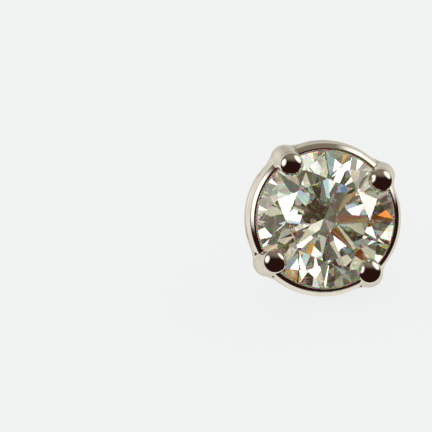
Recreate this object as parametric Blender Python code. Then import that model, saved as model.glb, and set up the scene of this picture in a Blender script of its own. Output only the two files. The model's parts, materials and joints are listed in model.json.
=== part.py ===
"""Diamond stud earring: a round brilliant held by four claws on a white-gold collar, with its ear post.

Every piece is modelled about the stud's own axis: local +Z points out of the front of the stone, local
+Y is up, and z = 0 is the middle of the girdle. One empty then lays the whole stud on its side, on the
collar and the tip of the post, with the stone facing -Y.
"""

import math

import bmesh
import bpy
import numpy as np
from mathutils import Vector

MM = 0.001

# Stone: a round brilliant of about one carat.
GIRDLE_RADIUS = 3.25 * MM
GIRDLE_THICKNESS = 0.20 * MM
TABLE_RADIUS = 1.99 * MM
CROWN_ANGLE = math.radians(34.5)
PAVILION_ANGLE = math.radians(41.0)
STAR_SHARE = 0.52
LOWER_HALF_SHARE = 0.78
MAIN_FACETS = 8
GIRDLE_SIDES = 64

# Collar: the ring round the girdle, with a narrow crest, a bevel outside it and a wall that flares behind.
COLLAR_ROOM = 0.04 * MM
COLLAR_HEIGHT = 1.56 * MM
COLLAR_EDGE = 0.14 * MM
CREST_DEPTH = 0.06 * MM
CREST_WIDTH = 0.10 * MM
CREST_EDGE = 0.04 * MM
BEVEL_WIDTH = 0.17 * MM
BEVEL_DROP = 0.20 * MM
WALL_FLARE = 0.16 * MM
LEDGE_WIDTH = 0.11 * MM
LEDGE_DROP = 0.35 * MM
GROOVE_DEPTH = 0.06 * MM
GROOVE_WIDTH = 0.10 * MM
GROOVE_DROP = 0.70 * MM
COLLAR_SIDES = 64

# Claws: four round rods outside the collar that lean in over the girdle, each at its own turn.
CLAW_TURNS = [math.radians(turn) for turn in (36.5, 123.0, 217.5, 309.5)]
CLAW_RADIUS = 0.53 * MM
CLAW_FOOT_RADIUS = 0.40 * MM
CLAW_TIP_RADIUS = 0.53 * MM
CLAW_STAND = 0.08 * MM
CLAW_SHOULDER = 0.85 * MM
CLAW_HOLD = 0.09 * MM
CLAW_BITE = 0.07 * MM
CLAW_SIDES = 16
CLAW_STEPS = 4
TIP_STEPS = 4

# Rest: how far the stud rolls on its round collar, clockwise from the front, and the rounds of the search
# for its lean.
REST_ROLL = math.radians(8.4)
LEAN_STEPS = 6

# Base and post.
CULET_ROOM = 0.33 * MM
BASE_RADIUS = 1.50 * MM
BASE_THICKNESS = 0.75 * MM
BASE_EDGE = 0.12 * MM
BASE_SIDES = 48
SOCKET_FLOOR = 0.25 * MM
POST_RADIUS = 0.45 * MM
POST_LENGTH = 10.0 * MM
POST_TIP = 0.30 * MM
POST_SIDES = 32

# Room left between the pieces, and how near two points count as one.
CLEARANCE = 0.03 * MM
SAME_POINT = 0.0005 * MM

# Places that follow from the sizes above.
COLLAR_INNER = GIRDLE_RADIUS + COLLAR_ROOM
CREST_RADIUS = COLLAR_INNER + CREST_WIDTH
BEVEL_RADIUS = CREST_RADIUS + BEVEL_WIDTH
COLLAR_RADIUS = BEVEL_RADIUS + WALL_FLARE
COLLAR_BACK = -CREST_DEPTH - COLLAR_HEIGHT
CULET_DEPTH = GIRDLE_THICKNESS / 2 + GIRDLE_RADIUS * math.tan(PAVILION_ANGLE)
BASE_FRONT = -CULET_DEPTH - CULET_ROOM
BASE_BACK = BASE_FRONT - BASE_THICKNESS
SOCKET_END = BASE_FRONT - SOCKET_FLOOR


def clear_scene():
    for old in list(bpy.data.objects):
        bpy.data.objects.remove(old, do_unlink=True)


def material(name, color, roughness, metallic, transmission=0.0, ior=1.5):
    made = bpy.data.materials.new(name)
    made.use_nodes = True
    shader = made.node_tree.nodes["Principled BSDF"]
    shader.inputs["Base Color"].default_value = (*color, 1.0)
    shader.inputs["Roughness"].default_value = roughness
    shader.inputs["Metallic"].default_value = metallic
    shader.inputs["Transmission Weight"].default_value = transmission
    shader.inputs["IOR"].default_value = ior
    made.diffuse_color = (*color, 1.0)
    return made


def add_object(name, bm, smooth_angle=None):
    """Closes a bmesh into an object in the scene; an angle shades it smooth up to that crease."""
    bmesh.ops.recalc_face_normals(bm, faces=bm.faces)
    mesh = bpy.data.meshes.new(name)
    bm.to_mesh(mesh)
    bm.free()
    if smooth_angle is not None:
        mesh.shade_smooth()
        mesh.set_sharp_from_angle(angle=smooth_angle)
    made = bpy.data.objects.new(name, mesh)
    bpy.context.scene.collection.objects.link(made)
    return made


def polar(radius, turn, height):
    return Vector((radius * math.cos(turn), radius * math.sin(turn), height))


def grind(bm, corners, grow):
    """Takes off all that lies outside the plane through three corners, moved out by grow."""
    first, second, third = corners
    normal = (second - first).cross(third - first).normalized()
    if normal.dot(first) < 0:
        normal.negate()
    geometry = bm.verts[:] + bm.edges[:] + bm.faces[:]
    bmesh.ops.bisect_plane(
        bm,
        geom=geometry,
        dist=SAME_POINT * 0.1,
        plane_co=first + normal * grow,
        plane_no=normal,
        clear_outer=True,
    )
    rim = [edge for edge in bm.edges if edge.is_boundary]
    bmesh.ops.holes_fill(bm, edges=rim)


def facet_corners():
    """Three corners of each facet plane of a round brilliant, the table and mains first."""
    half = GIRDLE_THICKNESS / 2
    step = math.tau / MAIN_FACETS
    crown_slope = math.tan(CROWN_ANGLE)
    pavilion_slope = math.tan(PAVILION_ANGLE)
    table_height = half + (GIRDLE_RADIUS - TABLE_RADIUS) * crown_slope
    table_edge = TABLE_RADIUS * math.cos(step / 2)
    star_radius = table_edge + STAR_SHARE * (GIRDLE_RADIUS - table_edge)
    star_height = half + (GIRDLE_RADIUS - star_radius * math.cos(step / 2)) * crown_slope
    lower_radius = GIRDLE_RADIUS * (1 - LOWER_HALF_SHARE)
    lower_depth = half + (GIRDLE_RADIUS - lower_radius * math.cos(step / 2)) * pavilion_slope
    culet = Vector((0, 0, -CULET_DEPTH))
    facets = [[polar(TABLE_RADIUS, k * step, table_height) for k in range(3)]]
    for k in range(MAIN_FACETS):
        turn = k * step
        table_corner = polar(TABLE_RADIUS, turn, table_height)
        next_corner = polar(TABLE_RADIUS, turn + step, table_height)
        girdle_top = polar(GIRDLE_RADIUS, turn, half)
        girdle_bottom = polar(GIRDLE_RADIUS, turn, -half)
        star = polar(star_radius, turn + step / 2, star_height)
        lower = polar(lower_radius, turn + step / 2, -lower_depth)
        facets.append([table_corner, star, girdle_top])
        facets.append([culet, lower, girdle_bottom])
        facets.append([table_corner, next_corner, star])
        for corner in (turn, turn + step):
            top = [polar(GIRDLE_RADIUS, a, half) for a in (corner, turn + step / 2)]
            bottom = [polar(GIRDLE_RADIUS, a, -half) for a in (corner, turn + step / 2)]
            facets.append([star] + top)
            facets.append([lower] + bottom)
    return facets


def brilliant(name, grow=0.0):
    """Grinds the facets one by one from a round blank, as the stone itself is cut."""
    bm = bmesh.new()
    bmesh.ops.create_cone(
        bm,
        cap_ends=True,
        segments=GIRDLE_SIDES,
        radius1=GIRDLE_RADIUS + grow,
        radius2=GIRDLE_RADIUS + grow,
        depth=3 * GIRDLE_RADIUS,
    )
    for corners in facet_corners():
        grind(bm, corners, grow)
    bmesh.ops.remove_doubles(bm, verts=bm.verts, dist=SAME_POINT)
    return add_object(name, bm)


def turned(name, profile, sides, smooth_angle=math.radians(35)):
    """Spins an outline of (radius, height) round the axis."""
    bm = bmesh.new()
    start = math.pi / sides
    points = [bm.verts.new(polar(radius, start, height)) for radius, height in profile]
    on_axis = profile[0][0] == 0 and profile[-1][0] == 0
    pairs = list(zip(points, points[1:]))
    if not on_axis:
        pairs.append((points[-1], points[0]))
    edges = [bm.edges.new(pair) for pair in pairs]
    bmesh.ops.spin(
        bm,
        geom=points + edges,
        axis=(0, 0, 1),
        cent=(0, 0, 0),
        steps=sides,
        angle=math.tau,
    )
    bmesh.ops.remove_doubles(bm, verts=bm.verts, dist=SAME_POINT)
    return add_object(name, bm, smooth_angle)


def collar():
    """The ring round the girdle: crest and bevel in front, flaring wall with a groove, ledge inside."""
    crest = -CREST_DEPTH
    groove = crest - GROOVE_DROP
    ledge = COLLAR_INNER - LEDGE_WIDTH
    profile = [
        (COLLAR_INNER, crest - CREST_EDGE),
        (COLLAR_INNER + CREST_EDGE, crest),
        (CREST_RADIUS, crest),
        (BEVEL_RADIUS, crest - BEVEL_DROP),
        (COLLAR_RADIUS, groove),
        (COLLAR_RADIUS - GROOVE_DEPTH, groove - GROOVE_WIDTH * 0.4),
        (COLLAR_RADIUS - GROOVE_DEPTH, groove - GROOVE_WIDTH * 0.6),
        (COLLAR_RADIUS, groove - GROOVE_WIDTH),
        (COLLAR_RADIUS, COLLAR_BACK + COLLAR_EDGE),
        (COLLAR_RADIUS - COLLAR_EDGE, COLLAR_BACK),
        (ledge, COLLAR_BACK),
        (ledge, crest - LEDGE_DROP),
        (COLLAR_INNER, crest - LEDGE_DROP + LEDGE_WIDTH),
    ]
    return turned("collar", profile, COLLAR_SIDES)


def base():
    """The small round foot behind the stone, with the flat back that lies against the lobe."""
    profile = [
        (0, BASE_FRONT),
        (BASE_RADIUS * 0.62, BASE_FRONT),
        (BASE_RADIUS * 0.90, BASE_FRONT - BASE_THICKNESS * 0.30),
        (BASE_RADIUS, BASE_FRONT - BASE_THICKNESS * 0.62),
        (BASE_RADIUS, BASE_BACK + BASE_EDGE),
        (BASE_RADIUS - BASE_EDGE, BASE_BACK),
        (0, BASE_BACK),
    ]
    return turned("base", profile, BASE_SIDES)


def through(knots, steps):
    """Points on a Catmull-Rom curve through the knots, steps to each stretch."""
    knots = np.array(knots)
    ends = np.vstack([2 * knots[0] - knots[1], knots, 2 * knots[-1] - knots[-2]])
    points = []
    for a, b, c, d in zip(ends, ends[1:], ends[2:], ends[3:]):
        for t in np.arange(steps) / steps:
            bend = 2 * a - 5 * b + 4 * c - d + t * (3 * b - a - 3 * c + d)
            points.append(b + 0.5 * t * (c - a + t * bend))
    points.append(knots[-1])
    return [tuple(map(float, point)) for point in points]


def claw_line():
    """(reach, height, thickness) along the middle of a claw, from inside the base to its round tip."""
    reach = COLLAR_RADIUS - CLAW_STAND
    foot_reach = BASE_RADIUS * 0.60
    foot = BASE_BACK + CLAW_FOOT_RADIUS * 1.1
    tip_reach = GIRDLE_RADIUS - CLAW_HOLD
    crown = GIRDLE_THICKNESS / 2 + CLAW_HOLD * math.tan(CROWN_ANGLE)
    tip = crown + (CLAW_TIP_RADIUS - CLAW_BITE) / math.cos(CROWN_ANGLE)
    knee_reach = foot_reach + (reach - foot_reach) * 0.54
    knots = [
        (foot_reach, foot, CLAW_FOOT_RADIUS),
        (knee_reach, foot + (COLLAR_BACK - foot) * 0.52, CLAW_RADIUS * 0.9),
        (reach - COLLAR_HEIGHT * 0.12, COLLAR_BACK + COLLAR_HEIGHT * 0.08, CLAW_RADIUS * 0.98),
        (reach, -CLAW_SHOULDER, CLAW_RADIUS),
        ((reach + tip_reach) / 2, (tip - CLAW_SHOULDER) / 2, CLAW_RADIUS),
        (tip_reach, tip, CLAW_TIP_RADIUS),
    ]
    return through(knots, CLAW_STEPS)


def claw_rings(turn):
    """(centre, direction, radius) of each ring of a claw, with the rings of its round tip last."""
    line = claw_line()
    middle = [polar(reach, turn, height) for reach, height, thick in line]
    before = [middle[0]] + middle
    after = middle[1:] + [middle[-1]]
    rings = []
    for centre, last, following, section in zip(middle, before, after, line):
        rings.append((centre, (following - last).normalized(), section[2]))
    centre, way, thick = rings[-1]
    for step in range(1, TIP_STEPS):
        rise = step / TIP_STEPS * math.pi / 2
        rings.append((centre + way * thick * math.sin(rise), way, thick * math.cos(rise)))
    return rings, centre + way * thick


def claw(number, turn):
    """One claw: rings swept along its line, joined by faces and closed at the foot and the tip."""
    rings, pole_point = claw_rings(turn)
    side = Vector((-math.sin(turn), math.cos(turn), 0))
    bm = bmesh.new()
    loops = []
    for centre, way, radius in rings:
        outward = side.cross(way)
        loop = []
        for corner in range(CLAW_SIDES):
            angle = corner * math.tau / CLAW_SIDES
            spoke = math.cos(angle) * side + math.sin(angle) * outward
            loop.append(bm.verts.new(centre + radius * spoke))
        loops.append(loop)
    pole = bm.verts.new(pole_point)
    bm.faces.new(loops[0][::-1])
    for corner in range(CLAW_SIDES):
        after = (corner + 1) % CLAW_SIDES
        for lower, upper in zip(loops, loops[1:]):
            bm.faces.new((lower[corner], lower[after], upper[after], upper[corner]))
        bm.faces.new((loops[-1][corner], loops[-1][after], pole))
    return add_object("claw_%d" % number, bm, math.radians(50))


def socket():
    """The drilled hole in the flat back that takes the end of the post."""
    radius = POST_RADIUS + CLEARANCE
    past_back = BASE_BACK - POST_RADIUS
    profile = [
        (0, SOCKET_END),
        (radius, SOCKET_END),
        (radius, past_back),
        (0, past_back),
    ]
    return turned("socket_cutter", profile, POST_SIDES)


def post():
    """The hidden ear post: a plain round pin with a rounded end."""
    front = SOCKET_END - CLEARANCE
    end = BASE_BACK - POST_LENGTH
    profile = [(0, front), (POST_RADIUS, front), (POST_RADIUS, end + POST_TIP)]
    for step in range(1, TIP_STEPS):
        rise = step / TIP_STEPS * math.pi / 2
        drop = POST_TIP * (1 - math.sin(rise))
        profile.append((POST_RADIUS * math.cos(rise), end + drop))
    profile.append((0, end))
    return turned("ear_post", profile, POST_SIDES)


def combine(target, helper, operation):
    """Adds a Boolean to the target and turns the helper into a hidden guide."""
    step = target.modifiers.new(helper.name, "BOOLEAN")
    step.operation = operation
    step.solver = "EXACT"
    step.object = helper
    helper.hide_render = True
    helper.display_type = "WIRE"


def setting():
    """Collar, base and claws soldered into one, then cut by the stone's seat and the post's socket."""
    head = collar()
    head.name = "setting"
    head.data.name = "setting"
    helpers = [base()] + [claw(*place) for place in enumerate(CLAW_TURNS, start=1)]
    for helper in helpers:
        combine(head, helper, "UNION")
    cutters = [brilliant("seat_cutter", CLEARANCE), socket()]
    for cutter in cutters:
        combine(head, cutter, "DIFFERENCE")
    return head, helpers + cutters


def points_of(pieces):
    """All points of the pieces as they stand in the world, as rows of x, y, z."""
    bpy.context.view_layer.update()
    graph = bpy.context.evaluated_depsgraph_get()
    rows = []
    for piece in pieces:
        shape = piece.evaluated_get(graph)
        mesh = shape.to_mesh()
        rows += [shape.matrix_world @ vertex.co for vertex in mesh.vertices]
        shape.to_mesh_clear()
    return np.array(rows)


def rolled(points):
    """The points after the stud turns about its own axis."""
    x, y, z = points.T
    across = x * math.cos(REST_ROLL) + y * math.sin(REST_ROLL)
    upward = y * math.cos(REST_ROLL) - x * math.sin(REST_ROLL)
    return np.stack([across, upward, z], axis=1)


def lean_on(points, pin):
    """How far the stud leans back with these points and the tip of its post on one floor."""
    lean = 0.0
    for settle in range(LEAN_STEPS):
        heel = pin[(pin[:, 1] * math.cos(lean) + pin[:, 2] * math.sin(lean)).argmin()]
        lean = float(np.arctan2(heel[1] - points[:, 1], points[:, 2] - heel[2]).max())
    return lean


def lay_down(pieces, helpers):
    """Rolls the stud, leans it back onto its collar and the tip of its post, and centres it."""
    stone, head, pin = pieces
    lean = lean_on(rolled(points_of([stone, head])), rolled(points_of([pin])))
    stand = bpy.data.objects.new("stud_axis", None)
    bpy.context.scene.collection.objects.link(stand)
    for piece in pieces + helpers:
        piece.parent = stand
    stand.rotation_mode = "ZYX"
    stand.rotation_euler = (math.pi / 2 - lean, 0, -REST_ROLL)
    points = points_of(pieces)
    low, high = points.min(axis=0), points.max(axis=0)
    stand.location = (-(low[0] + high[0]) / 2, -(low[1] + high[1]) / 2, -low[2])


def main():
    clear_scene()
    white_gold = material("white_gold", (0.80, 0.77, 0.70), 0.10, 1.0)
    clear_stone = material("diamond", (0.95, 0.95, 0.90), 0.0, 0.0, 1.0, 2.417)
    stone = brilliant("diamond")
    head, helpers = setting()
    pin = post()
    stone.data.materials.append(clear_stone)
    head.data.materials.append(white_gold)
    pin.data.materials.append(white_gold)
    lay_down([stone, head, pin], helpers)


main()
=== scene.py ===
# %% [markdown]
# A diamond stud, finished for its portrait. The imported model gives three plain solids: the stone, the
# setting and the ear post. This lesson cuts the stone again with crisp facets, casts the setting again with
# soft polished edges and solder in its corners, turns the post smooth, and lights all three as a
# photographer lights jewellery. The frame comes first, because every piece has to sit where it says.

# %% Load the frame
import json
import math

import bpy
from mathutils import Matrix, Vector


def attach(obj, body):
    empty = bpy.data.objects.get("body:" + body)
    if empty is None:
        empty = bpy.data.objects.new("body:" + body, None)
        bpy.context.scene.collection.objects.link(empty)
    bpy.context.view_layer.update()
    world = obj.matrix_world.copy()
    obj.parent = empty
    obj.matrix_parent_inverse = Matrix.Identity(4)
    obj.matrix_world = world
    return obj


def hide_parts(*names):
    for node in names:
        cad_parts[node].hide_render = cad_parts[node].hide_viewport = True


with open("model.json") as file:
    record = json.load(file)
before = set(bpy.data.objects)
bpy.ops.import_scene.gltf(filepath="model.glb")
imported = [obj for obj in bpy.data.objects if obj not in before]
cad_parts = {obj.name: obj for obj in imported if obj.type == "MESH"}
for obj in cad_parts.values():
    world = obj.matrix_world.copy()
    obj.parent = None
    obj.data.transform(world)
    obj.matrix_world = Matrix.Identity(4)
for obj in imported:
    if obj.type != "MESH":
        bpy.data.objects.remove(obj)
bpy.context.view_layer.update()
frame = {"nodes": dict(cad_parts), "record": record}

# %% [markdown]
# The stud lies on its side: it leans back onto the tip of its post and has rolled a little on its round
# collar, until it stopped. Modelling a leaning thing is tiresome, so the work is done on a bench, upright
# about the stud's own axis and in millimetres, and each finished piece is laid down at the end. The stone
# says where that axis is: its culet is its furthest point from the front, and one corner of its table
# points along the stud's own up.

# %% Find the stud's own axis
MM = 0.001
GIRDLE_RADIUS = 3.25
GIRDLE_THICKNESS = 0.20
TABLE_MARGIN = 0.01
PAVILION_ANGLE = math.radians(41.0)
CULET_DEPTH = GIRDLE_THICKNESS / 2 + GIRDLE_RADIUS * math.tan(PAVILION_ANGLE)

front = -Vector(frame["record"]["mounts"][0]["axis"]).normalized()
stone_points = [vertex.co for vertex in frame["nodes"]["diamond"].data.vertices]
culet = min(stone_points, key=front.dot)
table_front = max(point.dot(front) for point in stone_points)
table_corners = [p for p in stone_points if p.dot(front) > table_front - TABLE_MARGIN * MM]
top_corner = max(table_corners, key=lambda p: p.z)
upward = top_corner - culet
upward = (upward - front * upward.dot(front)).normalized()
across = upward.cross(front)
girdle_centre = culet + front * CULET_DEPTH * MM

AXES = Matrix((across, upward, front)).transposed()
STUD = Matrix.Translation(girdle_centre) @ AXES.to_4x4() @ Matrix.Scale(MM, 4)
print("stud leans back %.2f degrees" % math.degrees(math.asin(front.z)))
print("stud rolls %.2f degrees" % math.degrees(math.atan2(across.z, upward.z)))

# %% [markdown]
# Most of Blender's operators act on whatever is selected, and the loaded solids are still selected. So every
# step starts by selecting nothing, and two small helpers open and close edit mode round the hand work.
# When a piece is done, its object goes to the stud's place and the place is applied, so that the mesh holds
# it and the object itself stays at the origin.

# %% Bench helpers
def deselect():
    if bpy.context.mode != "OBJECT":
        bpy.ops.object.mode_set(mode="OBJECT")
    bpy.ops.object.select_all(action="DESELECT")


def pick(*pieces):
    """Selects these objects, the last one as the active one."""
    deselect()
    for piece in pieces:
        piece.select_set(True)
        bpy.context.view_layer.objects.active = piece


def edit(piece):
    pick(piece)
    bpy.ops.object.mode_set(mode="EDIT")
    bpy.ops.mesh.select_mode(type="VERT")
    bpy.ops.mesh.select_all(action="SELECT")


def tidy_mesh(piece, merge=0.0005):
    edit(piece)
    bpy.ops.mesh.remove_doubles(threshold=merge)
    bpy.ops.mesh.normals_make_consistent(inside=False)
    bpy.ops.object.mode_set(mode="OBJECT")


def apply_modifier(piece, kind, **settings):
    pick(piece)
    step = piece.modifiers.new(kind.title(), kind)
    for name, value in settings.items():
        setattr(step, name, value)
    bpy.ops.object.modifier_apply(modifier=step.name)


def lay_down(piece):
    pick(piece)
    piece.matrix_world = STUD @ piece.matrix_world
    bpy.ops.object.transform_apply(location=True, rotation=True, scale=True)
    triangles = sum(len(face.vertices) - 2 for face in piece.data.polygons)
    print(piece.name, "has", triangles, "triangles")


# %% [markdown]
# The stone is a round brilliant of one carat: 57 facets round a thin girdle. A cutter glues a round blank to
# a stick and grinds one flat after another, and the bisect operator does the same: it cuts the blank with a
# plane, throws away the outer side and fills the wound with one clean face. A subdivided sphere would never
# have facets this sharp, and reflections in a diamond are all about sharp, exactly flat faces.

# %% The facet angles
TABLE_RADIUS = 1.99
CROWN_ANGLE = math.radians(34.5)
STAR_SHARE = 0.52
LOWER_HALF_SHARE = 0.78
MAIN_FACETS = 8
BLANK_SIDES = 128


def polar(radius, turn, height):
    return Vector((radius * math.cos(turn), radius * math.sin(turn), height))


def facet_corners():
    """Three corners of every facet's plane: the table, then mains, stars and halves."""
    half = GIRDLE_THICKNESS / 2
    step = math.tau / MAIN_FACETS
    crown_slope = math.tan(CROWN_ANGLE)
    pavilion_slope = math.tan(PAVILION_ANGLE)
    table_height = half + (GIRDLE_RADIUS - TABLE_RADIUS) * crown_slope
    table_edge = TABLE_RADIUS * math.cos(step / 2)
    star_radius = table_edge + STAR_SHARE * (GIRDLE_RADIUS - table_edge)
    star_height = half + (GIRDLE_RADIUS - star_radius * math.cos(step / 2)) * crown_slope
    lower_radius = GIRDLE_RADIUS * (1 - LOWER_HALF_SHARE)
    lower_depth = half + (GIRDLE_RADIUS - lower_radius * math.cos(step / 2)) * pavilion_slope
    point = Vector((0, 0, -CULET_DEPTH))
    facets = [[polar(TABLE_RADIUS, k * step, table_height) for k in range(3)]]
    for k in range(MAIN_FACETS):
        turn = k * step
        table_corner = polar(TABLE_RADIUS, turn, table_height)
        next_corner = polar(TABLE_RADIUS, turn + step, table_height)
        star = polar(star_radius, turn + step / 2, star_height)
        lower = polar(lower_radius, turn + step / 2, -lower_depth)
        facets.append([table_corner, star, polar(GIRDLE_RADIUS, turn, half)])
        facets.append([point, lower, polar(GIRDLE_RADIUS, turn, -half)])
        facets.append([table_corner, next_corner, star])
        for corner in (turn, turn + step):
            rim = (corner, turn + step / 2)
            facets.append([star] + [polar(GIRDLE_RADIUS, a, half) for a in rim])
            facets.append([lower] + [polar(GIRDLE_RADIUS, a, -half) for a in rim])
    return facets


print("facets to grind:", len(facet_corners()))

# %% [markdown]
# One helper grinds a whole stone. It can also grind a slightly fatter one, which later cuts the seats in the
# claws, so that metal and stone never share a surface.

# %% Grind a stone from a round blank
def grind_stone(name, grow):
    deselect()
    bpy.ops.mesh.primitive_cylinder_add(
        vertices=BLANK_SIDES, radius=GIRDLE_RADIUS + grow, depth=3 * GIRDLE_RADIUS
    )
    stone = bpy.context.object
    stone.name = name
    bpy.ops.object.mode_set(mode="EDIT")
    for first, second, third in facet_corners():
        normal = (second - first).cross(third - first).normalized()
        if normal.dot(first) < 0:
            normal.negate()
        bpy.ops.mesh.select_all(action="SELECT")
        bpy.ops.mesh.bisect(
            plane_co=first + normal * grow,
            plane_no=normal,
            use_fill=True,
            clear_outer=True,
            threshold=0.00001,
        )
    bpy.ops.object.mode_set(mode="OBJECT")
    tidy_mesh(stone)
    return stone


diamond = grind_stone("brilliant", 0.0)
print("faces on the stone:", len(diamond.data.polygons))

# %% [markdown]
# A real girdle is not polished: it is left frosted where the blank was bruted round. The girdle's faces are
# the ones that look straight sideways, so they get a second material slot, found by their normals.

# %% Mark the frosted girdle
FROSTED = 1
SIDEWAYS = 0.02

girdle_faces = [face for face in diamond.data.polygons if abs(face.normal.z) < SIDEWAYS]
for face in girdle_faces:
    face.material_index = FROSTED
print("girdle faces:", len(girdle_faces))

# %% [markdown]
# Polished gold is soft to look at: nothing on it is sharper than a few hundredths of a millimetre. The
# collar, the base and the post are all turned shapes, so they are made as on a lathe: a circle is drawn, and
# then extruded, moved and widened again and again down its section.

# %% Lathe helper
def turn_on_lathe(name, section, sides, ring=False):
    """Extrudes a circle down a list of (radius, height). A ring's last loop is bridged to its first."""
    deselect()
    radius, height = section[0]
    bpy.ops.mesh.primitive_circle_add(
        vertices=sides, radius=radius, fill_type="NOTHING", location=(0, 0, height)
    )
    piece = bpy.context.object
    piece.name = name
    bpy.ops.object.transform_apply(location=True)
    bpy.ops.object.mode_set(mode="EDIT")
    bpy.ops.mesh.select_all(action="SELECT")
    if not ring:
        bpy.ops.mesh.edge_face_add()
        bpy.ops.mesh.select_all(action="SELECT")
    for next_radius, next_height in section[1:]:
        if ring:
            bpy.ops.mesh.extrude_edges_move()
        else:
            bpy.ops.mesh.extrude_region_move()
        wider = next_radius / radius
        bpy.ops.transform.resize(value=(wider, wider, 1), center_override=(0, 0, 0))
        bpy.ops.transform.translate(value=(0, 0, next_height - height))
        radius, height = next_radius, next_height
    if ring:
        bpy.ops.object.mode_set(mode="OBJECT")
        edit(piece)
        bpy.ops.mesh.select_all(action="DESELECT")
        bpy.ops.mesh.select_non_manifold()
        bpy.ops.mesh.bridge_edge_loops()
    bpy.ops.object.mode_set(mode="OBJECT")
    tidy_mesh(piece)
    return piece


# %% [markdown]
# The collar is the ring round the stone's girdle. Its narrow crest stands close beside the stone, a bevel
# falls away outside the crest, and behind that the wall flares a little, with one fine groove scratched round
# it. The bevel is what shows most in the photograph, as a band that turns from white to black. The section
# has a few more points than the plain solid, to round its edges.

# %% Turn the collar
COLLAR_ROOM = 0.04
CREST_DEPTH = 0.06
CREST_WIDTH = 0.10
BEVEL_WIDTH = 0.17
BEVEL_DROP = 0.20
WALL_FLARE = 0.16
COLLAR_HEIGHT = 1.56
COLLAR_EDGE = 0.14
LEDGE_WIDTH = 0.11
LEDGE_DROP = 0.35
GROOVE_DEPTH = 0.08
GROOVE_WIDTH = 0.14
GROOVE_DROP = 0.70
ROUND = 0.03
LATHE_SIDES = 256

crest = -CREST_DEPTH
collar_back = crest - COLLAR_HEIGHT
collar_inner = GIRDLE_RADIUS + COLLAR_ROOM
crest_radius = collar_inner + CREST_WIDTH
bevel_radius = crest_radius + BEVEL_WIDTH
collar_radius = bevel_radius + WALL_FLARE
groove = crest - GROOVE_DROP
ledge = collar_inner - LEDGE_WIDTH
collar_section = [
    (collar_inner, crest - ROUND * 1.5),
    (collar_inner + ROUND * 0.4, crest - ROUND * 0.5),
    (collar_inner + ROUND * 1.3, crest),
    (crest_radius - ROUND, crest),
    (crest_radius + ROUND * 0.7, crest - ROUND * 0.7),
    (bevel_radius - ROUND * 0.6, crest - BEVEL_DROP + ROUND * 0.7),
    (bevel_radius + ROUND * 0.2, crest - BEVEL_DROP - ROUND),
    (collar_radius, groove),
    (collar_radius - GROOVE_DEPTH, groove - GROOVE_WIDTH * 0.35),
    (collar_radius - GROOVE_DEPTH, groove - GROOVE_WIDTH * 0.65),
    (collar_radius, groove - GROOVE_WIDTH),
    (collar_radius, collar_back + COLLAR_EDGE),
    (collar_radius - COLLAR_EDGE * 0.3, collar_back + COLLAR_EDGE * 0.3),
    (collar_radius - COLLAR_EDGE, collar_back),
    (ledge, collar_back),
    (ledge, crest - LEDGE_DROP),
    (collar_inner, crest - LEDGE_DROP + LEDGE_WIDTH),
]
collar = turn_on_lathe("collar", collar_section, LATHE_SIDES, ring=True)
print("collar across, mm:", round(2 * collar_radius, 2))

# %% [markdown]
# The bevel was filed by hand, so it is not quite as wide all round: it is narrow at the foot of the stud and
# wide at the top. Only the outer edge of the bevel is picked, and it is pushed towards the top by a few
# hundredths of a millimetre. That is enough to change what so narrow a band mirrors.

# %% File the bevel
BEVEL_ASIDE = (0.0, 0.045, 0.0)

edit(collar)
bpy.ops.mesh.select_all(action="DESELECT")
bpy.ops.object.mode_set(mode="OBJECT")
for vertex in collar.data.vertices:
    outer = vertex.co.xy.length > crest_radius + BEVEL_WIDTH / 2
    vertex.select = outer and vertex.co.z > crest - BEVEL_DROP - 2 * ROUND
bpy.ops.object.mode_set(mode="EDIT")
bpy.ops.transform.translate(value=BEVEL_ASIDE)
bpy.ops.object.mode_set(mode="OBJECT")
print("points on the bevel's edge:", sum(vertex.select for vertex in collar.data.vertices))

# %% [markdown]
# Behind the stone the four claws meet in a small round base with a flat back, the part that lies against the
# ear. A drilled hole in it takes the post.

# %% Turn the base and drill it
CULET_ROOM = 0.33
BASE_RADIUS = 1.50
BASE_THICKNESS = 0.75
BASE_EDGE = 0.12
POST_RADIUS = 0.45
SOCKET_FLOOR = 0.25
SOCKET_ROOM = 0.03

base_front = -CULET_DEPTH - CULET_ROOM
base_back = base_front - BASE_THICKNESS
base_section = [
    (BASE_RADIUS * 0.30, base_front),
    (BASE_RADIUS * 0.62, base_front - BASE_THICKNESS * 0.02),
    (BASE_RADIUS * 0.82, base_front - BASE_THICKNESS * 0.14),
    (BASE_RADIUS * 0.95, base_front - BASE_THICKNESS * 0.36),
    (BASE_RADIUS, base_front - BASE_THICKNESS * 0.62),
    (BASE_RADIUS, base_back + BASE_EDGE),
    (BASE_RADIUS - BASE_EDGE * 0.3, base_back + BASE_EDGE * 0.3),
    (BASE_RADIUS - BASE_EDGE, base_back),
]
base = turn_on_lathe("base", base_section, LATHE_SIDES)
socket_end = base_front - SOCKET_FLOOR
socket_radius = POST_RADIUS + SOCKET_ROOM
socket_section = [(socket_radius, socket_end), (socket_radius, base_back - POST_RADIUS)]
socket = turn_on_lathe("socket", socket_section, LATHE_SIDES // 2)
print("base runs from %.2f to %.2f mm behind the girdle" % (-base_front, -base_back))

# %% [markdown]
# A claw is a round rod. It leaves the base slanting outwards, is widest behind the girdle and from there
# leans in over the stone, where it ends in a round bead. Seen from the front that lean is what makes the pale
# shoulder outside each bead, so the claw runs straight from the shoulder to the bead, without a neck. It is
# drawn as a hand would draw it: a circle, pushed out ring by ring, each ring moved, turned and resized a
# little, and squeezed a little wider than deep at the shoulder. A subdivision surface then takes the corners
# out of the bends, and because it also pulls the rings in, they are drawn a little larger. The rings above
# the shoulder are listed by their share of the way to the bead, their radius and their width.

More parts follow.
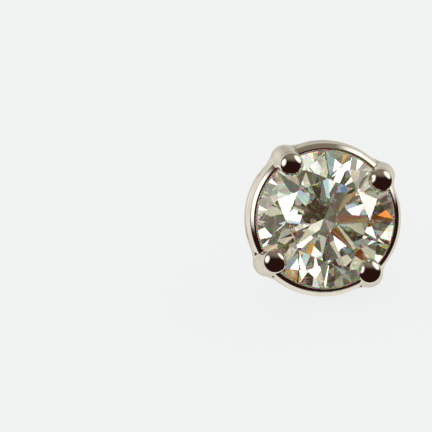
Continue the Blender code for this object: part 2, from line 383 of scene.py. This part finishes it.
# %% Draw one claw
CLAW_RADIUS = 0.53
CLAW_FOOT_RADIUS = 0.40
CLAW_TIP_RADIUS = 0.53
BEAD_RADIUS = 0.585
CLAW_STAND = 0.08
CLAW_SHOULDER = 0.85
CLAW_HOLD = 0.09
CLAW_BITE = 0.07
FOOT_SHARE = 0.60
KNEE_OUT = 0.54
KNEE_UP = 0.52
SHOULDER_WIDTH = 1.18
RINGS_ABOVE = ((0.4, 0.55, 1.08), (0.8, 0.57, 1.0), (1.0, 0.575, 1.0))
ROD_SIDES = 12
CAGE_GROWTH = 3 / (2 + math.cos(math.tau / ROD_SIDES))

claw_reach = collar_radius - CLAW_STAND
foot_reach = BASE_RADIUS * FOOT_SHARE
foot_height = base_back + CLAW_FOOT_RADIUS * 1.1
tip_reach = GIRDLE_RADIUS - CLAW_HOLD
tip_height = GIRDLE_THICKNESS / 2 + CLAW_HOLD * math.tan(CROWN_ANGLE)
tip_height += (CLAW_TIP_RADIUS - CLAW_BITE) / math.cos(CROWN_ANGLE)
knee_reach = foot_reach + (claw_reach - foot_reach) * KNEE_OUT
knee_height = foot_height + (collar_back - foot_height) * KNEE_UP
back_reach = claw_reach - COLLAR_HEIGHT * 0.12
back_height = collar_back + COLLAR_HEIGHT * 0.08
claw_stations = [
    (foot_reach, foot_height, CLAW_FOOT_RADIUS, 1.0),
    (knee_reach, knee_height, CLAW_RADIUS * 0.90, 1.0),
    (back_reach, back_height, CLAW_RADIUS * 0.98, 1.12),
    (claw_reach, -CLAW_SHOULDER, CLAW_RADIUS, SHOULDER_WIDTH),
]
for share, radius, width in RINGS_ABOVE:
    reach = claw_reach + (tip_reach - claw_reach) * share
    height = -CLAW_SHOULDER + (tip_height + CLAW_SHOULDER) * share
    claw_stations.append((reach, height, radius, width))


def draw_rod(name, stations):
    """Pushes a circle through (reach, height, radius, width) stations in the plane of X and Z."""
    deselect()
    centres = [Vector((station[0], 0, station[1])) for station in stations]
    first_radius = stations[0][2] * CAGE_GROWTH
    ways = []
    for last, following in zip([centres[0]] + centres, centres[1:] + [centres[-1]]):
        way = following - last
        ways.append(math.atan2(way.x, way.z))
    bpy.ops.mesh.primitive_circle_add(
        vertices=ROD_SIDES, radius=first_radius, fill_type="NGON",
        location=centres[0], rotation=(0, ways[0], 0),
    )
    rod = bpy.context.object
    rod.name = name
    bpy.ops.object.transform_apply(location=True, rotation=True)
    bpy.ops.object.mode_set(mode="EDIT")
    bpy.ops.mesh.select_all(action="SELECT")
    for step in range(1, len(stations)):
        bpy.ops.mesh.extrude_region_move()
        bpy.ops.transform.translate(value=centres[step] - centres[step - 1])
        bpy.ops.transform.rotate(
            value=ways[step - 1] - ways[step], orient_axis="Y", center_override=centres[step]
        )
        grown = stations[step][2] / stations[step - 1][2]
        widened = grown * stations[step][3] / stations[step - 1][3]
        bpy.ops.transform.resize(value=(grown, widened, grown), center_override=centres[step])
    bpy.ops.object.mode_set(mode="OBJECT")
    tidy_mesh(rod)
    return rod


claw = draw_rod("claw", claw_stations)
apply_modifier(claw, "SUBSURF", levels=2, render_levels=2)
print("claw reaches out to, mm:", round(claw_reach + CLAW_RADIUS, 2))

# %% [markdown]
# The end of the claw is a bead, left by the cup burr that rounds a claw after it is pushed over the stone. A
# claw is also never simply stood against the collar: hard solder runs into the corner between them and
# freezes there as a hollow fillet. A tall flattened ball in that corner is the solder, and the remesh and the
# polish below melt it into both.

# %% Bead and solder on the claw
SOLDER_SIZE = (0.15, 0.82, 0.74)
SOLDER_SINK = 0.05
SOLDER_DEPTH = 1.0
BALL_SEGMENTS = 48


def add_ball(name, centre, radii):
    deselect()
    bpy.ops.mesh.primitive_uv_sphere_add(
        segments=BALL_SEGMENTS, ring_count=BALL_SEGMENTS // 2, location=centre
    )
    ball = bpy.context.object
    ball.name = name
    bpy.ops.transform.resize(value=radii)
    bpy.ops.object.transform_apply(location=True, scale=True)
    return ball


bead = add_ball("bead", (tip_reach, 0, tip_height), (BEAD_RADIUS,) * 3)
solder = add_ball("solder", (collar_radius - SOLDER_SINK, 0, -SOLDER_DEPTH), SOLDER_SIZE)
pick(bead, solder, claw)
bpy.ops.object.join()
print("bead covers the girdle's edge by, mm:", round(GIRDLE_RADIUS - tip_reach + BEAD_RADIUS, 2))

# %% [markdown]
# Four claws stand round the collar. They are not quite evenly spaced, and they are turned a little against
# the stone's facets, as the setter happened to place them. Each copy has its own mesh, because all of them
# are about to be melted into one casting.

# %% Stand the claws round the collar
CLAW_TURNS = (36.5, 123.0, 217.5, 309.5)

castings = [collar, base]
for number, turn in enumerate(CLAW_TURNS, start=1):
    copy = claw.copy()
    copy.data = claw.data.copy()
    copy.name = "claw_%d" % number
    bpy.context.scene.collection.objects.link(copy)
    copy.rotation_euler.z = math.radians(turn)
    pick(copy)
    bpy.ops.object.transform_apply(rotation=True)
    castings.append(copy)
bpy.data.objects.remove(claw, do_unlink=True)
print("pieces in the casting:", len(castings))

# %% [markdown]
# The head of a real stud is cast or soldered into one piece of metal and then polished. A voxel remesh does
# the melting: it wraps everything in one even skin, fine enough to keep the narrow bevel of the collar. A
# Boolean union would keep hard creases where the claws meet the collar, which polished metal never has.

# %% Melt the head into one
VOXEL = 0.024

pick(*reversed(castings))
bpy.ops.object.join()
head = bpy.context.object
head.name = "stud_head"
voxel = VOXEL
apply_modifier(head, "REMESH", mode="VOXEL", voxel_size=voxel)
print("points on the skin:", len(head.data.vertices))

# %% [markdown]
# Polishing rounds corners, and it rounds them most where the solder is, because solder is soft and gets the
# most work. So the smooth modifier goes over the head twice: a few rounds for all of it, and many more for a
# vertex group round the foot of each claw's solder, which fades out at its edge. The crest and the bevel stay
# out of that group, or they would melt away.

# %% Polish the head
POLISH_FACTOR = 0.5
POLISH_ROUNDS = 4
SOLDER_ROUNDS = 240
SOLDER_TURN = 24
SOLDER_FADE = 6
SOLDER_TOP = 0.22
SOLDER_BOTTOM = 1.75
FADE_DEPTH = 0.15


def near_solder(point):
    """How much a point on the head belongs to the solder of its nearest claw, from 0 to 1."""
    turn = math.degrees(math.atan2(point.y, point.x))
    off = min(abs((turn - claw_turn + 180) % 360 - 180) for claw_turn in CLAW_TURNS)
    beside = (SOLDER_TURN - off) / SOLDER_FADE
    below = (-point.z - SOLDER_TOP) / FADE_DEPTH
    above = (point.z + SOLDER_BOTTOM) / FADE_DEPTH
    outside = (point.xy.length - bevel_radius) / FADE_DEPTH
    return max(0.0, min(1.0, beside, below, above, outside))


softened = head.vertex_groups.new(name="solder")
for vertex in head.data.vertices:
    share = near_solder(vertex.co)
    if share > 0:
        softened.add([vertex.index], share, "REPLACE")
apply_modifier(head, "SMOOTH", factor=POLISH_FACTOR, iterations=POLISH_ROUNDS)
apply_modifier(
    head, "SMOOTH", factor=POLISH_FACTOR, iterations=SOLDER_ROUNDS, vertex_group="solder"
)
print("points that belong to the solder:", sum(bool(v.groups) for v in head.data.vertices))

# %% [markdown]
# The even skin has far more triangles than its flat stretches need, and decimate takes those out.

# %% Thin the skin
MOST_TRIANGLES = 180000

skin = sum(len(face.vertices) - 2 for face in head.data.polygons)
apply_modifier(head, "DECIMATE", ratio=min(1.0, MOST_TRIANGLES / skin))
print("skin of the head:", skin, "triangles before thinning")

# %% [markdown]
# Now the stone gets its seats. The setter cuts a notch into each claw with a burr of the stone's own shape,
# so a slightly fatter stone is ground and cut out of the head. The socket for the post is drilled the same
# way. These cuts come last, because they are the only crisp edges on the head.

# %% Cut the seats and the socket
SEAT_ROOM = 0.012
CRISP_ANGLE = math.radians(38)

burr = grind_stone("burr", SEAT_ROOM)
for cutter in (burr, socket):
    apply_modifier(head, "BOOLEAN", operation="DIFFERENCE", solver="EXACT", object=cutter)
    bpy.data.objects.remove(cutter, do_unlink=True)
tidy_mesh(head, merge=0.0001)
pick(head)
bpy.ops.object.shade_smooth_by_angle(angle=CRISP_ANGLE)
print("polygons on the head:", len(head.data.polygons))

# %% [markdown]
# The post is a plain drawn wire, pushed into the socket and rounded at its end so that it goes through the
# ear easily. The lathe helper turns it, with a ring of points close to each corner to keep the wall straight.

# %% Turn the ear post
POST_LENGTH = 10.0
POST_TIP = 0.30
POST_SIDES = 96
TIP_STEPS = 8

post_front = socket_end - SOCKET_ROOM
post_end = base_back - POST_LENGTH
post_section = [(POST_RADIUS * 0.9, post_front), (POST_RADIUS, post_front - POST_RADIUS * 0.1)]
post_section.append((POST_RADIUS, post_end + POST_TIP))
for step in range(1, TIP_STEPS):
    rise = step / TIP_STEPS * math.pi / 2
    post_section.append(
        (POST_RADIUS * math.cos(rise), post_end + POST_TIP * (1 - math.sin(rise)))
    )
post_section.append((POST_RADIUS * 0.08, post_end))
post = turn_on_lathe("post", post_section, POST_SIDES)
pick(post)
bpy.ops.object.shade_smooth_by_angle(angle=CRISP_ANGLE)
print("post runs back to, mm:", round(post_end, 2))

# %% [markdown]
# All three pieces go to the stud's place, take the places of the plain solids and ride on the one body.

# %% Lay the pieces down
for piece, node, finish in (
    (diamond, "diamond", "diamond"),
    (head, "setting", "white_gold"),
    (post, "ear_post", "white_gold"),
):
    lay_down(piece)
    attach(piece, "root")
    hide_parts(node)

# %% [markdown]
# Materials are small node trees. Two helpers keep them short: one adds a node with its settings, and one
# adds a noise that reads Object coordinates, which stay fixed on the piece however it is turned or exported.

# %% Node helpers
def new_material(name):
    made = bpy.data.materials.new(name)
    made.use_nodes = True
    made.node_tree.nodes.clear()
    return made, made.node_tree


def add_node(tree, kind, inputs=None, **settings):
    node = tree.nodes.new(kind)
    for name, value in settings.items():
        setattr(node, name, value)
    for name, value in (inputs or {}).items():
        if isinstance(value, bpy.types.NodeSocket):
            tree.links.new(value, node.inputs[name])
        else:
            node.inputs[name].default_value = value
    return node


def add_noise(tree, size_mm, stretch=(1, 1, 1), detail=2.0):
    """Noise with grains of about size_mm, drawn out along an axis where stretch is small."""
    place = add_node(tree, "ShaderNodeTexCoord")
    scale = add_node(
        tree, "ShaderNodeMapping", {"Vector": place.outputs["Object"], "Scale": stretch}
    )
    return add_node(
        tree, "ShaderNodeTexNoise",
        {"Vector": scale.outputs["Vector"], "Scale": 1 / (size_mm * MM), "Detail": detail},
    )


def add_ramp(tree, factor, *stops):
    """A colour ramp through (position, colour) stops."""
    node = add_node(tree, "ShaderNodeValToRGB", {"Fac": factor})
    ramp = node.color_ramp
    ramp.elements[0].position, ramp.elements[0].color = stops[0][0], (*stops[0][1], 1)
    ramp.elements[1].position, ramp.elements[1].color = stops[-1][0], (*stops[-1][1], 1)
    for position, color in stops[1:-1]:
        ramp.elements.new(position).color = (*color, 1)
    return node


def grey(value):
    return (value, value, value)


# %% [markdown]
# White gold is a pale, slightly yellow metal under a mirror polish. Close up the mirror is never perfect:
# the polishing mop leaves faint hazy patches and hair-fine scratches, and handling dulls it a little. So the
# roughness and the tint drift with a coarse noise, and a fine drawn-out noise gives a very low bump.

# %% White gold
WHITE_GOLD_PALE = (0.86, 0.82, 0.76)
WHITE_GOLD_DEEP = (0.78, 0.73, 0.66)

white_gold, tree = new_material("polished_white_gold")
haze = add_noise(tree, 0.9, detail=3.0)
tint = add_ramp(tree, haze.outputs["Fac"], (0.35, WHITE_GOLD_DEEP), (0.62, WHITE_GOLD_PALE))
gloss = add_ramp(tree, haze.outputs["Fac"], (0.35, grey(0.045)), (0.70, grey(0.11)))
scratches = add_noise(tree, 0.05, stretch=(1.0, 0.16, 0.5), detail=4.0)
relief = add_node(
    tree, "ShaderNodeBump",
    {"Height": scratches.outputs["Fac"], "Strength": 0.05, "Distance": 0.01 * MM},
)
metal = add_node(
    tree, "ShaderNodeBsdfPrincipled",
    {
        "Base Color": tint.outputs["Color"],
        "Roughness": gloss.outputs["Color"],
        "Normal": relief.outputs["Normal"],
        "Metallic": 1.0,
    },
)
add_node(tree, "ShaderNodeOutputMaterial", {"Surface": metal.outputs["BSDF"]})
for piece in (head, post):
    piece.data.materials.clear()
    piece.data.materials.append(white_gold)
    print(piece.name, "is made of", white_gold.name)

# %% [markdown]
# Diamond bends light very strongly, and bends blue more than red: that is its fire. The shader is built from
# its parts. A Fresnel node says how much of the light the surface mirrors, which is all of it at a steep
# angle from inside. The rest is refracted. Where light leaves the stone it goes through three refraction
# shaders, pure red, green and blue, each with its own index, and their sum is white again. Doing this only
# on the way out keeps the render clean, because a ray that is already red would be lost in the other two.

# %% Diamond
DIAMOND_INDEX = 2.417
RED_INDEX = 2.403
BLUE_INDEX = 2.437
STONE_PALE = (0.995, 0.992, 0.972)
STONE_WARM = (0.985, 0.980, 0.940)

brilliant_look, tree = new_material("faceted_diamond")
growth = add_noise(tree, 1.6, detail=2.0)
tint = add_ramp(tree, growth.outputs["Fac"], (0.35, STONE_WARM), (0.65, STONE_PALE))
mirror_share = add_node(tree, "ShaderNodeFresnel", {"IOR": DIAMOND_INDEX})
mirror = add_node(
    tree, "ShaderNodeBsdfAnisotropic", {"Color": tint.outputs["Color"], "Roughness": 0.0}
)
entering = add_node(
    tree, "ShaderNodeBsdfRefraction",
    {"Color": tint.outputs["Color"], "Roughness": 0.0, "IOR": DIAMOND_INDEX},
)
fire = [
    add_node(
        tree, "ShaderNodeBsdfRefraction", {"Color": (*color, 1), "Roughness": 0.0, "IOR": index}
    )
    for color, index in (
        ((1, 0, 0), RED_INDEX),
        ((0, 1, 0), DIAMOND_INDEX),
        ((0, 0, 1), BLUE_INDEX),
    )
]
two = add_node(tree, "ShaderNodeAddShader")
three = add_node(tree, "ShaderNodeAddShader")
tree.links.new(fire[0].outputs["BSDF"], two.inputs[0])
tree.links.new(fire[1].outputs["BSDF"], two.inputs[1])
tree.links.new(two.outputs["Shader"], three.inputs[0])
tree.links.new(fire[2].outputs["BSDF"], three.inputs[1])
inside = add_node(tree, "ShaderNodeNewGeometry")
way_through = add_node(tree, "ShaderNodeMixShader", {"Fac": inside.outputs["Backfacing"]})
tree.links.new(entering.outputs["BSDF"], way_through.inputs[1])
tree.links.new(three.outputs["Shader"], way_through.inputs[2])
surface = add_node(tree, "ShaderNodeMixShader", {"Fac": mirror_share.outputs["Fac"]})
tree.links.new(way_through.outputs["Shader"], surface.inputs[1])
tree.links.new(mirror.outputs["BSDF"], surface.inputs[2])
add_node(tree, "ShaderNodeOutputMaterial", {"Surface": surface.outputs["Shader"]})
print("nodes in the diamond's look:", len(tree.nodes))

# %% [markdown]
# The frosted girdle scatters what reaches it. It is glass with a rough surface, and a fine noise stretched
# along the girdle's height gives the small vertical drag marks of bruting.

# %% Frosted girdle
frosted, tree = new_material("frosted_girdle")
drag = add_noise(tree, 0.04, stretch=(1.0, 0.3, 1.0), detail=3.0)
tint = add_ramp(tree, drag.outputs["Fac"], (0.3, grey(0.80)), (0.7, grey(0.97)))
matt = add_ramp(tree, drag.outputs["Fac"], (0.3, grey(0.32)), (0.7, grey(0.50)))
bruted = add_node(
    tree, "ShaderNodeBsdfGlass",
    {
        "Color": tint.outputs["Color"],
        "Roughness": matt.outputs["Color"],
        "IOR": DIAMOND_INDEX,
    },
)
add_node(tree, "ShaderNodeOutputMaterial", {"Surface": bruted.outputs["BSDF"]})
diamond.data.materials.clear()
diamond.data.materials.append(brilliant_look)
diamond.data.materials.append(frosted)
print("finishes on the stone:", [material.name for material in diamond.data.materials])

# %% [markdown]
# Jewellery is lit by what it reflects, so the studio is painted into the world, in fixed directions round
# the stud. Each direction is given as a turn round the stud's axis, counted from its right, and an angle off
# that axis. A lamp is a soft round patch in such a direction: the dot product says how near a ray points to
# it, and a smooth step gives it an edge.

# %% World helpers
world = bpy.data.worlds.new("studio")
bpy.context.scene.world = world
world.use_nodes = True
studio = world.node_tree
studio.nodes.clear()
gaze = add_node(studio, "ShaderNodeTexCoord").outputs["Generated"]


def direction(turn, off_axis):
    turn = math.radians(turn)
    off_axis = math.radians(off_axis)
    return AXES @ polar(math.sin(off_axis), turn, math.cos(off_axis))


def add_patch(below, turn, off_axis, spread, edge, color, strength=1.0):
    """Lays a soft round patch over the colour below. Angles are in degrees."""
    near = add_node(studio, "ShaderNodeVectorMath", operation="DOT_PRODUCT")
    studio.links.new(gaze, near.inputs[0])
    near.inputs[1].default_value = direction(turn, off_axis)
    rim = math.cos(math.radians(spread + edge))
    core = math.cos(math.radians(spread))
    share = add_node(
        studio, "ShaderNodeMapRange",
        {"Value": near.outputs["Value"], "From Min": rim, "From Max": core},
        interpolation_type="SMOOTHSTEP",
    )
    return mix_colors(share.outputs["Result"], below, tuple(strength * c for c in color))


def count_patches():
    return sum(node.type == "MAP_RANGE" for node in studio.nodes)


def mix_colors(factor, first, second):
    node = add_node(studio, "ShaderNodeMix", data_type="RGBA")
    studio.links.new(factor, node.inputs[0])
    for place, value in ((6, first), (7, second)):
        if isinstance(value, bpy.types.NodeSocket):
            studio.links.new(value, node.inputs[place])
        else:
            node.inputs[place].default_value = (*value, 1)
    return node.outputs[2]


# %% [markdown]
# The metal stands before a sheet of white paper in a dark brown room. Whatever faces the camera or looks
# sideways mirrors the room, and only what slants far away mirrors the paper, so the claw beads are dark
# almost to their rims while the shoulders and the collar's wall are creamy. Right behind the stud the paper
# is in shade, which gives the silhouette a soft darker edge. A lamp to the left and another to the right
# leave two highlights on each bead, and the ceiling above is a little lighter than the room.

# %% What the metal sees
PAPER = (0.87, 0.85, 0.77)
PAPER_SHADE = (0.64, 0.61, 0.54)
ROOM = (0.024, 0.008, 0.006)
WALL = (0.24, 0.205, 0.155)
LAMP = (1.0, 0.97, 0.93)

metal_view = add_patch(PAPER, 0, 180, 8, 34, PAPER_SHADE)
metal_view = add_patch(metal_view, 0, 0, 122, 10, ROOM)
metal_view = add_patch(metal_view, 85, 95, 12, 62, WALL)
metal_view = add_patch(metal_view, 164, 87, 15, 18, LAMP, 1.4)
metal_view = add_patch(metal_view, 40, 91, 18, 18, LAMP, 1.4)
print("patches hung for the metal:", count_patches())

# %% [markdown]
# The stone is another kind of mirror: its facets are flat, so each one mirrors a single direction. Two star
# facets beside the table blaze white in the photograph, as if each of them mirrored a lamp. The mirror rule
# says where such a lamp must hang: the ray to the eye, turned over about the facet's normal. A diamond
# mirrors only a sixth of the light there, so these two lamps are small and strong.

# %% What the facets mirror
DAYLIGHT = (0.97, 0.99, 0.97)
STAR_LAMP_SPREAD = 5
STAR_LAMP_EDGE = 3

facet_view = metal_view
for turn, off_axis, strength in ((158, 33, 5.5), (15, 44, 5.0)):
    facet_view = add_patch(
        facet_view, turn, off_axis, STAR_LAMP_SPREAD, STAR_LAMP_EDGE, DAYLIGHT, strength
    )
print("patches hung, with the lamps for the facets:", count_patches())

# %% [markdown]
# Light that has been inside the stone comes back through its crown from all over the studio, so a brilliant
# is a puzzle of small pictures of the room, and where a thing hangs decides which facets show it. The walls
# are a warm grey. There are large soft windows round the sides, dark cloths near the camera, a few small
# lamps and some pale cards. Most were hung by looking at one bright or dark facet of the photograph and
# following its light out of the stone, with a small ray tracer that is not part of this lesson. The first
# three windows and the first small lamp began as the best of many random tries, made by a program, at
# likeness to the photograph, and were then rounded and moved. Each entry below holds a turn, an angle off the
# axis, a spread and an edge, in degrees, and a window also its strength.

# %% What the stone sees
WALLS = (0.155, 0.147, 0.110)
CLOTH = (0.05, 0.035, 0.02)

stone_view = add_patch(WALLS, 0, 180, 80, 20, PAPER, 0.7)
for turn, off_axis, spread, edge, strength in (
    (155, 58, 15, 8, 1.8),
    (50, 70, 27, 8, 1.1),
    (284, 48, 9, 5, 2.0),
    (192, 74, 7, 5, 1.2),
):
    stone_view = add_patch(stone_view, turn, off_axis, spread, edge, DAYLIGHT, strength)
for turn, off_axis, spread, edge in (
    (325, 32, 16, 8),
    (279, 38, 5, 3),
    (4, 33, 4, 4),
    (267, 27, 4, 2),
    (105, 5, 3, 2),
    (222, 21, 4, 3),
):
    stone_view = add_patch(stone_view, turn, off_axis, spread, edge, CLOTH)
print("patches hung, with the windows and cloths:", count_patches())

# %% [markdown]
# The small lamps make single facets flash, and the cards lift others to a soft grey.

# %% Small lamps and cards
CARD = (0.90, 0.88, 0.72)
CARD_SPREAD = 4
CARD_EDGE = 3

for turn, off_axis, spread, edge, strength in (
    (197, 29, 6, 4, 1.9),
    (222, 39, 5, 3, 2.2),
    (92, 36, 5, 4, 1.5),
    (141, 9, 3, 3, 1.6),
    (44, 38, 5, 4, 1.4),
    (336, 28, 4, 3, 2.0),
):
    stone_view = add_patch(stone_view, turn, off_axis, spread, edge, DAYLIGHT, strength)
for turn, off_axis, strength in (
    (78, 14, 0.9),
    (281, 14, 0.8),
    (99, 26, 0.6),
    (255, 20, 0.8),
    (166, 26, 0.6),
    (12, 24, 0.7),
    (132, 51, 0.55),
    (233, 36, 0.45),
    (219, 30, 0.85),
):
    stone_view = add_patch(stone_view, turn, off_axis, CARD_SPREAD, CARD_EDGE, CARD, strength)
print("patches hung, with the small lamps and cards:", count_patches())

# %% [markdown]
# The strongest fire in the photograph is one pale blue facet left of the middle and one orange one at the
# right. Fire that strong needs a lamp far away and very small, so here two coloured lamps stand for it, and a
# faint brown one beside the camera warms the dark rays between them.

# %% Fire
CYAN = (0.62, 0.95, 0.97)
ORANGE = (1.0, 0.28, 0.02)

stone_view = add_patch(stone_view, 126, 26, 5, 3, CYAN, 0.95)
stone_view = add_patch(stone_view, 335, 7, 2, 2, ORANGE, 0.2)
stone_view = add_patch(stone_view, 29, 19, 3, 2, ORANGE, 1.5)
print("patches hung in the whole studio:", count_patches())

# %% [markdown]
# The backdrop is plain. The camera sees one pale tone, the floor is lit by an even white sky, and only the
# polished pieces see the studio. The Light Path node tells these rays apart: a ray off a perfectly sharp
# mirror, such as a facet, counts as singular, and one off the slightly hazy metal does not.

# %% Join the world
BACKDROP = (0.877, 0.896, 0.887)
SKY = (1.0, 1.0, 1.0)

path = add_node(studio, "ShaderNodeLightPath")
mirrored = mix_colors(path.outputs["Is Singular Ray"], metal_view, facet_view)
seen = mix_colors(path.outputs["Is Glossy Ray"], SKY, mirrored)
seen = mix_colors(path.outputs["Is Transmission Ray"], seen, stone_view)
seen = mix_colors(path.outputs["Is Camera Ray"], seen, BACKDROP)
glow = add_node(studio, "ShaderNodeBackground", {"Color": seen})
add_node(studio, "ShaderNodeOutputWorld", {"Surface": glow.outputs["Background"]})
world.cycles.sampling_method = "NONE"
print("nodes in the studio:", len(studio.nodes))

# %% [markdown]
# The floor is a sheet of pale paper. It is partly lit from below, as on a light table, so the stud's shadow
# on it is faint, and it stays out of the reflections, which belong to the studio.

# %% The floor
FLOOR_SIZE = 2.0
FLOOR_GLOW = 0.95
PAPER_GRAIN = 0.997

deselect()
bpy.ops.mesh.primitive_plane_add(size=FLOOR_SIZE)
floor = bpy.context.object
floor.name = "paper_floor"
paper, tree = new_material("pale_paper")
fibre = add_noise(tree, 0.5, detail=4.0)
paper_low = tuple(c * PAPER_GRAIN for c in BACKDROP)
tone = add_ramp(tree, fibre.outputs["Fac"], (0.3, paper_low), (0.7, BACKDROP))
lit = add_node(tree, "ShaderNodeBsdfDiffuse", {"Color": tone.outputs["Color"]})
own = add_node(tree, "ShaderNodeEmission", {"Color": tone.outputs["Color"]})
blend = add_node(tree, "ShaderNodeMixShader", {"Fac": FLOOR_GLOW})
tree.links.new(lit.outputs["BSDF"], blend.inputs[1])
tree.links.new(own.outputs["Emission"], blend.inputs[2])
add_node(tree, "ShaderNodeOutputMaterial", {"Surface": blend.outputs["Shader"]})
floor.data.materials.append(paper)
floor.visible_glossy = False
floor.visible_transmission = False
print("floor across, metres:", FLOOR_SIZE)

# %% [markdown]
# The camera looks at the stone almost along its axis, a little from the stud's left and from above, with a
# long lens. The stud stands in the right half of the picture, so the camera itself is moved to the left and
# a touch up, and the picture's upright is the stud's own.

# %% The camera
PIXELS = 432
PIXELS_PER_MM = 21.08
STUD_PIXEL = (325.5, 219.5)
DISTANCE = 300.0
FROM_LEFT = math.radians(6.0)
FROM_ABOVE = math.radians(3.0)
SENSOR = 36.0

view_back = AXES @ Vector((
    -math.sin(FROM_LEFT) * math.cos(FROM_ABOVE),
    math.sin(FROM_ABOVE),
    math.cos(FROM_LEFT) * math.cos(FROM_ABOVE),
))
view_up = (upward - view_back * upward.dot(view_back)).normalized()
view_right = view_up.cross(view_back)
aside = (PIXELS / 2 - STUD_PIXEL[0]) / PIXELS_PER_MM
raised = (STUD_PIXEL[1] - PIXELS / 2) / PIXELS_PER_MM
eye = girdle_centre + MM * (view_back * DISTANCE + view_right * aside + view_up * raised)

deselect()
bpy.ops.object.camera_add()
camera = bpy.context.object
camera.matrix_world = (
    Matrix.Translation(eye) @ Matrix((view_right, view_up, view_back)).transposed().to_4x4()
)
camera.data.sensor_width = SENSOR
camera.data.lens = SENSOR * DISTANCE * PIXELS_PER_MM / PIXELS
camera.data.clip_start = 0.01
camera.data.clip_end = 10.0
bpy.context.scene.camera = camera
print("camera elevation %.1f degrees" % math.degrees(math.asin(view_back.z)))

# %% [markdown]
# Light has to bounce many times inside the stone before it comes out, so the bounce limits are raised. The
# Standard view transform keeps whites white, as in a product photograph.

# %% Light paths and colours
BOUNCES = 32

scene = bpy.context.scene
scene.cycles.max_bounces = BOUNCES
scene.cycles.glossy_bounces = BOUNCES
scene.cycles.transmission_bounces = BOUNCES
scene.cycles.transparent_max_bounces = BOUNCES
scene.cycles.caustics_reflective = False
scene.cycles.caustics_refractive = False
scene.cycles.blur_glossy = 0.0
scene.view_settings.view_transform = "Standard"
scene.view_settings.look = "None"
print("light may bounce", BOUNCES, "times")

# %% [markdown]
# Last, the view layer is updated.

# %% Finish
bpy.context.view_layer.update()
